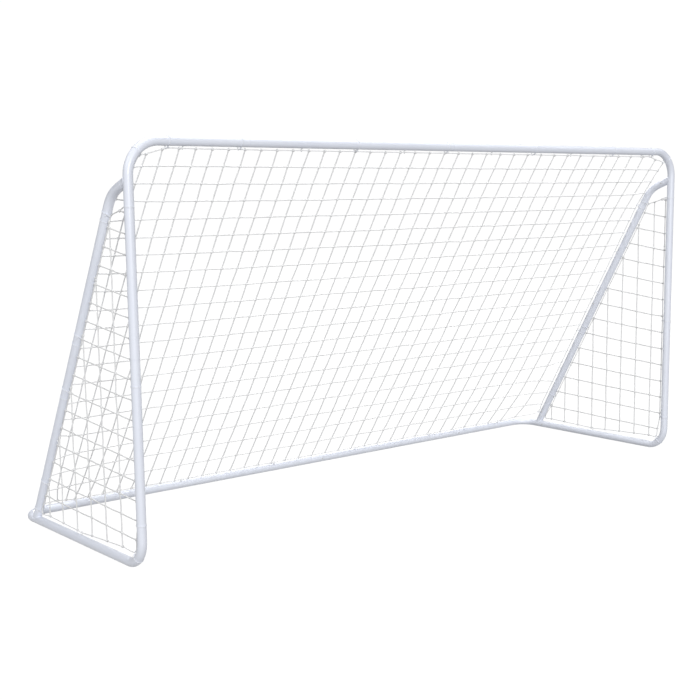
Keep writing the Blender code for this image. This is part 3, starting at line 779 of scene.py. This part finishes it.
class Net:
    """A square-mesh panel laced to a border rope, at rest under its own weight.

    The outline is a polygon in panel coordinates (u, v). Lines run at the given u and v values, and
    end on the rope. Each cord pulls with the same force, the rope pulls harder, and the points in
    `pins` stay where they are: on a hook or a tie."""

    def __init__(self, outline, us, vs, place, pins, rope_pull=55.0, rise=None):
        self.pos, self.fixed, self.edges = [], {}, []
        self.outline = [np.array(p, float) for p in outline]
        self.place = place
        # rows may slant: v = v0 + slope(v0) * (u - u0)
        slope, u0 = rise if rise else ((lambda v: 0.0), 0.0)
        self.row_at = lambda v0, u: v0 + slope(v0) * (u - u0)
        marks = []  # (arc length, node) on the rope
        run = 0.0
        self.corner_run = []
        for a, b in zip(self.outline, self.outline[1:] + self.outline[:1]):
            self.corner_run.append(run)
            run += float(np.linalg.norm(b - a))
        self.run = run
        for (u, v), at in pins:
            s, gap = self._on_outline(np.array((u, v), float))
            if gap > 0.004:
                raise RuntimeError(f"pin {(u, v)} is {gap:.4f} off the outline")
            marks.append((s, self._node(at, True)))
        self.pins = [n for _, n in marks]
        lines = []
        for axis, values in ((0, us), (1, vs)):
            for value in values:
                hits = self._crossings(axis, value)
                for lo, hi in zip(hits[::2], hits[1::2]):
                    lines.append((axis, value, lo, hi))
        grid = {}
        self.lines = []
        for axis, value, lo, hi in lines:
            def point(w):
                return (value, w) if axis == 0 else (w, self.row_at(value, w))

            ends = []
            for w in (lo, hi):
                s, _ = self._on_outline(np.array(point(w), float))
                near = [n for t, n in marks if abs(t - s) < 0.004]
                if near:
                    ends.append(near[0])
                else:
                    n = self._node(self.place(*point(w)), False)
                    marks.append((s, n))
                    ends.append(n)
            chain = [ends[0]]
            for k, w in enumerate(vs if axis == 0 else us):
                along = self.row_at(w, value) if axis == 0 else w
                if lo + 0.012 < along < hi - 0.012:
                    key = (round(value, 5), round(w, 5)) if axis == 0 else (round(w, 5), round(value, 5))
                    u, v = key[0], self.row_at(key[1], key[0])
                    if self._inside(u, v) and key not in grid:
                        grid[key] = self._node(self.place(u, v), False)
                    if key in grid:
                        chain.append(grid[key])
            chain.append(ends[1])
            self.lines.append((axis, chain))
        self.knots = list(grid.values())
        marks.sort()
        self.rope = [n for _, n in marks]
        self.ends = sorted({c[k] for _, c in self.lines for k in (0, -1)})
        self._settle(rope_pull)

    def _node(self, at, fixed):
        self.pos.append(np.array(tuple(at), float))
        if fixed:
            self.fixed[len(self.pos) - 1] = self.pos[-1]
        return len(self.pos) - 1

    def _on_outline(self, q):
        best = None
        for k, (a, b) in enumerate(zip(self.outline, self.outline[1:] + self.outline[:1])):
            d = b - a
            t = float(np.clip((q - a) @ d / (d @ d), 0, 1))
            gap = float(np.linalg.norm(a + d * t - q))
            if best is None or gap < best[1] - 1e-9:
                best = (self.corner_run[k] + t * float(np.linalg.norm(d)), gap)
        return best

    def _inside(self, u, v):
        """True if the point is inside the outline, a knot's width from its edge."""
        q = np.array((u, v))
        if self._on_outline(q)[1] < 0.010:
            return False
        count = 0
        for a, b in zip(self.outline, self.outline[1:] + self.outline[:1]):
            if (a[1] < v) != (b[1] < v) and u < a[0] + (b[0] - a[0]) * (v - a[1]) / (b[1] - a[1]):
                count += 1
        return count % 2 == 1

    def _crossings(self, axis, value):
        """Where a line meets the outline, by its other coordinate: v along a column, u along a row."""
        found = []
        for a, b in zip(self.outline, self.outline[1:] + self.outline[:1]):
            if axis == 0:
                p, q = a[0] - value, b[0] - value
            else:
                p, q = a[1] - self.row_at(value, a[0]), b[1] - self.row_at(value, b[0])
            if (p < 0) != (q < 0):
                t = p / (p - q)
                found.append(float(a[1 - axis] + (b[1 - axis] - a[1 - axis]) * t))
        return sorted(found)

    def _settle(self, rope_pull):
        n = len(self.pos)
        pos = np.array(self.pos)
        A = np.zeros((n, n))
        B = np.zeros((n, 3))
        pairs = []
        for _, chain in self.lines:
            pairs += [(i, j, 1.0) for i, j in zip(chain, chain[1:])]
        loop = self.rope + self.rope[:1]
        pairs += [(i, j, rope_pull) for i, j in zip(loop, loop[1:])]
        for i, j, pull in pairs:
            if i == j:
                continue
            length = max(0.004, float(np.linalg.norm(pos[i] - pos[j])))
            q = pull / length
            A[i, i] += q
            A[j, j] += q
            A[i, j] -= q
            A[j, i] -= q
            w = LOAD * length / 0.2 * (1.0 if pull == 1.0 else 2.0)
            B[i, 2] -= w
            B[j, 2] -= w
        for i, at in self.fixed.items():
            A[i, :] = 0
            A[i, i] = 1
            B[i] = at
        self.pos = np.linalg.solve(A, B)

    def jitter(self, amount):
        for n in self.knots:
            self.pos[n] += rng.normal(0, amount, 3)

    def cords(self, shape, normal, lift, radius=CORD_R, sides=8):
        """The cords, the two families a cord's half-thickness apart where they cross."""
        normal = np.array(normal, float)
        for axis, chain in self.lines:
            offset = normal * (lift if axis == 0 else -lift)
            pts = []
            for a, b in zip(chain, chain[1:]):
                p, q = self.pos[a], self.pos[b]
                length = float(np.linalg.norm(q - p))
                k = 4 if length > 0.03 else 2
                bow = 0.010 * length
                for t in np.arange(k) / k:
                    edge = min(t, 1 - t)
                    drop = np.array((0, 0, -bow * 4 * t * (1 - t))) * float(rng.uniform(0.2, 1.0))
                    pts.append(p + (q - p) * t + offset * (1 if edge < 0.05 else 0.15) + drop)
            pts.append(self.pos[chain[-1]] + offset * 0.2)
            sweep(shape, pts, radius, sides=sides)

    def rope_points(self, step):
        loop = []
        for n in self.rope:
            if not loop or np.linalg.norm(self.pos[n] - loop[-1]) > 0.012:
                loop.append(self.pos[n])
        return smooth_path(loop, step, closed=True)


def torus(shape, centre, axis, major, minor, around=12, section=6, squash=1.0, along=None):
    """A ring about `axis`; `squash` and `along` stretch it into a link."""
    axis = np.array(axis, float)
    axis /= np.linalg.norm(axis)
    a = np.array(along if along is not None else ((0, 0, 1) if abs(axis[2]) < 0.9 else (1, 0, 0)), float)
    a -= axis * (a @ axis)
    a /= np.linalg.norm(a)
    b = np.cross(axis, a)
    pts = [centre + major * (math.cos(t) * a + squash * math.sin(t) * b) for t in np.arange(around) * 2 * math.pi / around]
    sweep(shape, pts, minor, sides=section, closed=True)


def net_knot(shape, at, u, v, normal, size=1.0):
    """A drawn-up sheet bend: one cord's bight round the other's neck, and the turn behind it."""
    u, v, normal = (np.array(q, float) / np.linalg.norm(q) for q in (u, v, normal))
    diag = (u + v) / np.linalg.norm(u + v)
    anti = (u - v) / np.linalg.norm(u - v)
    torus(shape, at + normal * 0.0006, diag * 0.9 + normal * 0.35, 0.0044 * size, 0.0022, 10, 6, 0.92, anti)
    torus(shape, at - normal * 0.0006, anti * 0.9 - normal * 0.35, 0.0042 * size, 0.0021, 10, 6, 0.90, diag)


def rope_hitch(shape, at, along, toward):
    """A clove hitch: two turns round the border rope and the crossing between them."""
    along = np.array(along, float) / np.linalg.norm(along)
    toward = np.array(toward, float) / np.linalg.norm(toward)
    for shift, lean in ((-0.0026, 0.25), (0.0026, -0.25)):
        torus(shape, at + along * shift, along + toward * lean, 0.0046, 0.0019, 14, 6)
    pts = smooth_path([at - along * 0.004 + toward * 0.0050, at + toward * 0.0072, at + along * 0.004 + toward * 0.0050], 0.002)
    sweep(shape, pts, 0.0019, sides=6)


def tie(shape, point, out, axis, radius=0.0010):
    """A short cord bound twice round the tube and the border rope, and knotted."""
    point, out, axis = (np.array(tuple(q), float) for q in (point, out, axis))
    side = np.cross(out, axis)
    big, small, reach = R + radius + 0.0003, ROPE_R + radius + 0.0002, NET_REACH
    lean = math.asin((big - small) / reach)
    loop = []
    for t in np.linspace(math.pi / 2 - lean, 2 * math.pi - (math.pi / 2 - lean), 30):
        loop.append((big * math.cos(t), big * math.sin(t)))
    a0 = -(math.pi / 2 - lean)
    for t in np.linspace(a0, -a0, 9):
        loop.append((reach + small * math.cos(t), small * math.sin(t)))
    loop = np.array(loop)
    for shift in (-0.0016, 0.0016):
        pts = [point + out * z + side * y + axis * shift for z, y in loop]
        pts = smooth_path(pts, 0.004, closed=True)
        sweep(shape, pts, radius, sides=6, closed=True)
    knot = point + out * (reach - 0.010) + side * (big * 0.55)
    knot = point + out * (reach * 0.62) + side * (small + (big - small) * 0.38 + 0.0006)
    torus(shape, knot, axis + out * 0.3, 0.0026, 0.0012, 10, 6)
    torus(shape, knot, out - axis * 0.4, 0.0025, 0.0012, 10, 6)
    for s in (-1, 1):
        tail = smooth_path([knot, knot + side * 0.005 + axis * 0.003 * s, knot + side * 0.008 + axis * 0.009 * s - np.array((0, 0, 0.003))], 0.002)
        sweep(shape, tail, 0.0012, sides=6)


def dress(net, name, node_name, normal, twine_mat, lift=0.0013):
    """Makes a settled net's pieces: cords, knots and border rope."""
    cords = Shape()
    net.cords(cords, normal, lift)
    knots, hitches = Shape(), Shape()
    seen = {}
    for axis, chain in net.lines:
        for k, n in enumerate(chain):
            a, b = net.pos[chain[max(k - 1, 0)]], net.pos[chain[min(k + 1, len(chain) - 1)]]
            seen.setdefault(n, {})[axis] = b - a
    for n in net.knots:
        d = seen[n]
        if 0 in d and 1 in d:
            net_knot(knots, net.pos[n], d[1], d[0], normal, float(rng.uniform(0.94, 1.06)))
    loop = net.rope
    ends = set(net.ends)
    for k, n in enumerate(loop):
        if n in ends:
            along = net.pos[loop[(k + 1) % len(loop)]] - net.pos[loop[k - 1]]
            chain = next(c for _, c in net.lines if n in (c[0], c[-1]))
            inner_node = chain[1] if chain[0] == n else chain[-2]
            toward = net.pos[inner_node] - net.pos[n]
            toward -= along * (toward @ along) / (along @ along)
            rope_hitch(hitches, net.pos[n], along, toward)
    rope = Shape()
    path = net.rope_points(0.0042)
    sweep(rope, path, ROPE_R, sides=12, closed=True, lobes=3, depth=0.16, pitch=0.024)
    made = []
    for kind, shape, mat in (("cords", cords, twine_mat), ("knots", knots, twine_mat), ("hitches", hitches, twine_mat), ("border_rope", rope, ROPE)):
        obj = piece(f"{name}_{kind}", shape.mesh(f"{name}_{kind}"), mat, 60)
        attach(obj, "frame")
        made.append(obj)
    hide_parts(node_name)
    return made


HANG = Vector((0, 0.5, -math.sqrt(0.75)))
LIFT = Vector((0, -0.5, math.sqrt(0.75)))
foot_r, knee_r, head_r = stay_points(X_SIDE)
stay_up = (knee_r - foot_r).normalized()
stay_out = Vector((0, stay_up.z, -stay_up.y))

net_stats = {}


def back_net():
    top = Vector((0, Y_FRONT, Z_TOP)) + HANG * NET_REACH
    low = Vector((0, Y_REAR, Z_BASE)) + LIFT * NET_REACH
    length = (low - top).length
    xe = X_SIDE - 0.5 * NET_REACH

    def place(x, t):
        return top.lerp(low, t / length) + Vector((x, 0, 0))

    def t_at(z):
        return (top.z - z) / (top.z - low.z) * length

    def on_stay(sign, s):
        base = Vector((sign * X_SIDE, foot_r.y, foot_r.z)) + stay_up * s
        out = stay_out * math.sqrt(0.75) + Vector((-sign * 0.5, 0, 0))
        return base + out * NET_REACH, base, out

    pins, ties = [], Shape()
    for sign in (-1, 1):
        for x in (0.30, 0.92, 1.54):
            pins.append(((sign * x, 0.0), place(sign * x, 0)))
            pins.append(((sign * x, length), place(sign * x, length)))
        for s in (0.45, 1.35):
            at, _, _ = on_stay(sign, s)
            pins.append(((sign * xe, t_at(at.z)), at))
        for s in (0.078, 0.75, 1.05, 1.68):
            at, base, out = on_stay(sign, s)
            pins.append(((sign * xe, t_at(at.z)), at))
            tie(ties, base, out, stay_up)
        for x in (0.61, 1.26, 1.62):
            pins.append(((sign * x, 0.0), place(sign * x, 0)))
            tie(ties, Vector((sign * x, Y_FRONT, Z_TOP)), HANG, Vector((1, 0, 0)))
        # on the crossbar's bend
        diagonal = Vector((sign, 0, 1)).normalized()
        on_bend = Vector((sign * (X_SIDE - TOP_RADIUS), Y_FRONT, Z_TOP - TOP_RADIUS)) + diagonal * TOP_RADIUS
        out = diagonal * -math.sqrt(0.75) + Vector((0, 0.5, 0))
        at = on_bend + out * NET_REACH
        corner_at = (abs(at.x), t_at(at.z))
        pins.append(((sign * corner_at[0], corner_at[1]), at))
        tie(ties, on_bend, out, Vector((sign, 0, -1)).normalized())
    pins.append(((-0.03, 0.0), place(-0.03, 0)))
    tie(ties, Vector((-0.03, Y_FRONT, Z_TOP)), HANG, Vector((1, 0, 0)))
    t_a, t_b = t_at(on_stay(1, 1.68)[0].z), t_at(on_stay(1, 0.078)[0].z)
    outline = [(-1.62, 0), (1.62, 0), corner_at, (xe, t_a), (xe, t_b), (1.68, length), (-1.68, length), (-xe, t_b), (-xe, t_a), (-corner_at[0], corner_at[1])]
    # the meshes widen slightly to the right and to the ground
    us = [-xe + 2 * xe * (i / 37) * (1 + 0.20 * (i / 37 - 1)) for i in range(1, 37)]
    vs = [0.0830 * j + 0.00104 * j * j for j in range(1, 20)]
    net = Net(outline, us, vs, place, pins, rope_pull=110.0)
    net.jitter(0.0009)
    normal = Vector((0, (top.z - low.z), (low.y - top.y))).normalized()
    dress(net, "net_back", "net_back", normal, CORD)
    obj = piece("net_back_ties", ties.mesh("net_back_ties"), TIE, 60)
    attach(obj, "frame")
    net_stats["back"] = (2 * xe, length)
    return net


def side_net(side, sign):
    x = sign * X_SIDE
    y0, z0 = Y_FRONT + NET_REACH, Z_BASE + NET_REACH

    def place(y, z):
        return Vector((x, y, z))

    def on_stay(s):
        base = Vector((x, foot_r.y, foot_r.z)) + stay_up * s
        return base - stay_out * NET_REACH, base, -stay_out

    pins, ties = [], Shape()
    corners = []
    bend = Vector((x, Y_FRONT + FOOT_RADIUS, Z_BASE + FOOT_RADIUS))
    slant = Vector((0, -1, -1)).normalized()
    bend_in = bend + slant * (FOOT_RADIUS - NET_REACH)
    for s in (0.51, 1.41):
        at, _, _ = on_stay(s)
        pins.append(((at.y, at.z), at))
    for s in (0.072, 0.25, 0.80, 1.10, 1.72):
        at, base, out = on_stay(s)
        pins.append(((at.y, at.z), at))
        tie(ties, base, out, stay_up)
    for z in (0.50, 1.25):
        pins.append(((y0, z), place(y0, z)))
    for z in (0.205, 0.80, 1.54):
        pins.append(((y0, z), place(y0, z)))
        tie(ties, Vector((x, Y_FRONT, z)), Vector((0, 1, 0)), UP)
    pins.append(((bend_in.y, bend_in.z), bend_in))
    tie(ties, bend + slant * FOOT_RADIUS, -slant, Vector((0, 1, -1)).normalized())
    pins.append(((Y_FRONT + 0.56, z0), place(Y_FRONT + 0.56, z0)))
    a, b = on_stay(1.72)[0], on_stay(0.072)[0]
    outline = [(y0, 1.54), (a.y, a.z), (b.y, b.z), (Y_FRONT + 0.56, z0), (bend_in.y, bend_in.z), (y0, 0.205)]
    first_y, step_y, first_z, step_z = (0.030, 0.1425, 0.0445, 0.0866) if sign < 0 else (0.0, 0.1147, 0.026, 0.1000)
    us = [Y_FRONT + first_y + step_y * k for k in range(1, 9)]
    vs = [first_z + step_z * m for m in range(1, 18)]
    # a row rises to the rear, more the higher it is
    rise = lambda v: 0.02 + 0.095 * v
    net = Net(outline, us, vs, place, pins, rope_pull=140.0, rise=(rise, Y_FRONT + 0.03))
    net.jitter(0.0009)
    # the side panels get the cord painted darker than the back's, as painted shade
    dress(net, f"net_side_{side}", f"net_side_{side}", (sign, 0, 0), SHADED_SIDE_CORD)
    obj = piece(f"net_side_{side}_ties", ties.mesh(f"net_side_{side}_ties"), TIE, 60)
    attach(obj, "frame")
    return net


back_net()
side_net("left", -1)
side_net("right", 1)


# ------------------------------------------------------------------ floor and light
def plain(name, base, emit, strength):
    m, nt, b = new_material(name, base, 0.9)
    b.inputs["Emission Color"].default_value = (*emit, 1)
    b.inputs["Emission Strength"].default_value = strength
    b.inputs["Specular IOR Level"].default_value = 0.1
    return m


def floor():
    shape = Shape()
    s = 40.0
    shape.add([(-s, -s, 0), (s, -s, 0), (s, s, 0), (-s, s, 0)], [(0, 1, 2, 3)])
    obj = bpy.data.objects.new("floor", shape.mesh("floor"))
    bpy.context.scene.collection.objects.link(obj)
    obj.data.materials.append(plain("floor_white", (0.03, 0.03, 0.03), (1, 1, 1), 1.01))
    obj.location.z = -0.0005
    obj.visible_diffuse = False
    # a white surround that only the camera sees
    bm = bmesh.new()
    bmesh.ops.create_icosphere(bm, subdivisions=5, radius=39.0)
    me = bpy.data.meshes.new("surround")
    bm.to_mesh(me)
    bm.free()
    dome = bpy.data.objects.new("surround", me)
    bpy.context.scene.collection.objects.link(dome)
    m = bpy.data.materials.new("surround_white")
    m.use_nodes = True
    nt = m.node_tree
    nt.nodes.clear()
    e = nt.nodes.new("ShaderNodeEmission")
    o = nt.nodes.new("ShaderNodeOutputMaterial")
    e.inputs["Strength"].default_value = 1.03
    nt.links.new(e.outputs[0], o.inputs[0])
    me.materials.append(m)
    dome.visible_diffuse = dome.visible_glossy = dome.visible_transmission = False
    dome.visible_shadow = dome.visible_volume_scatter = False


def area(name, at, aim, size, watts, colour=(1, 1, 1)):
    light = bpy.data.lights.new(name, "AREA")
    light.shape, light.size, light.size_y = "RECTANGLE", size[0], size[1]
    light.energy, light.color = watts, colour
    obj = bpy.data.objects.new(name, light)
    bpy.context.scene.collection.objects.link(obj)
    at, aim = Vector(at), Vector(aim)
    obj.location = at
    obj.rotation_euler = (aim - at).to_track_quat("-Z", "Y").to_euler()
    obj.visible_camera = False
    return obj


floor()
area("front_softbox", (-13.2, -27.0, 8.0), (0, 0, 0.8), (10.0, 8.0), 6300, (1.0, 1.0, 1.0))
area("top_softbox", (0.5, 0.5, 6.5), (0, 0, 0), (7.0, 5.0), 300, (1.0, 1.0, 1.0))
area("left_softbox", (-8.0, -0.5, 6.0), (0, 0.2, 0.6), (4.0, 3.0), 170, (1.0, 1.0, 1.0))
area("back_softbox", (15.0, 18.0, 8.0), (0, 0, 0.8), (8.0, 6.0), 1500, (1.0, 1.0, 1.0))
area("right_softbox", (6.5, -3.5, 3.0), (0, 0, 0.8), (3.0, 3.0), 8, (1.0, 1.0, 1.0))

world = bpy.data.worlds.new("studio")
world.use_nodes = True
bg = world.node_tree.nodes["Background"]
bg.inputs["Color"].default_value = (0.985, 0.99, 1.0, 1)
bg.inputs["Strength"].default_value = 0.21
bpy.context.scene.world = world
bpy.context.scene.view_settings.view_transform = "Standard"
bpy.context.scene.view_settings.look = "None"
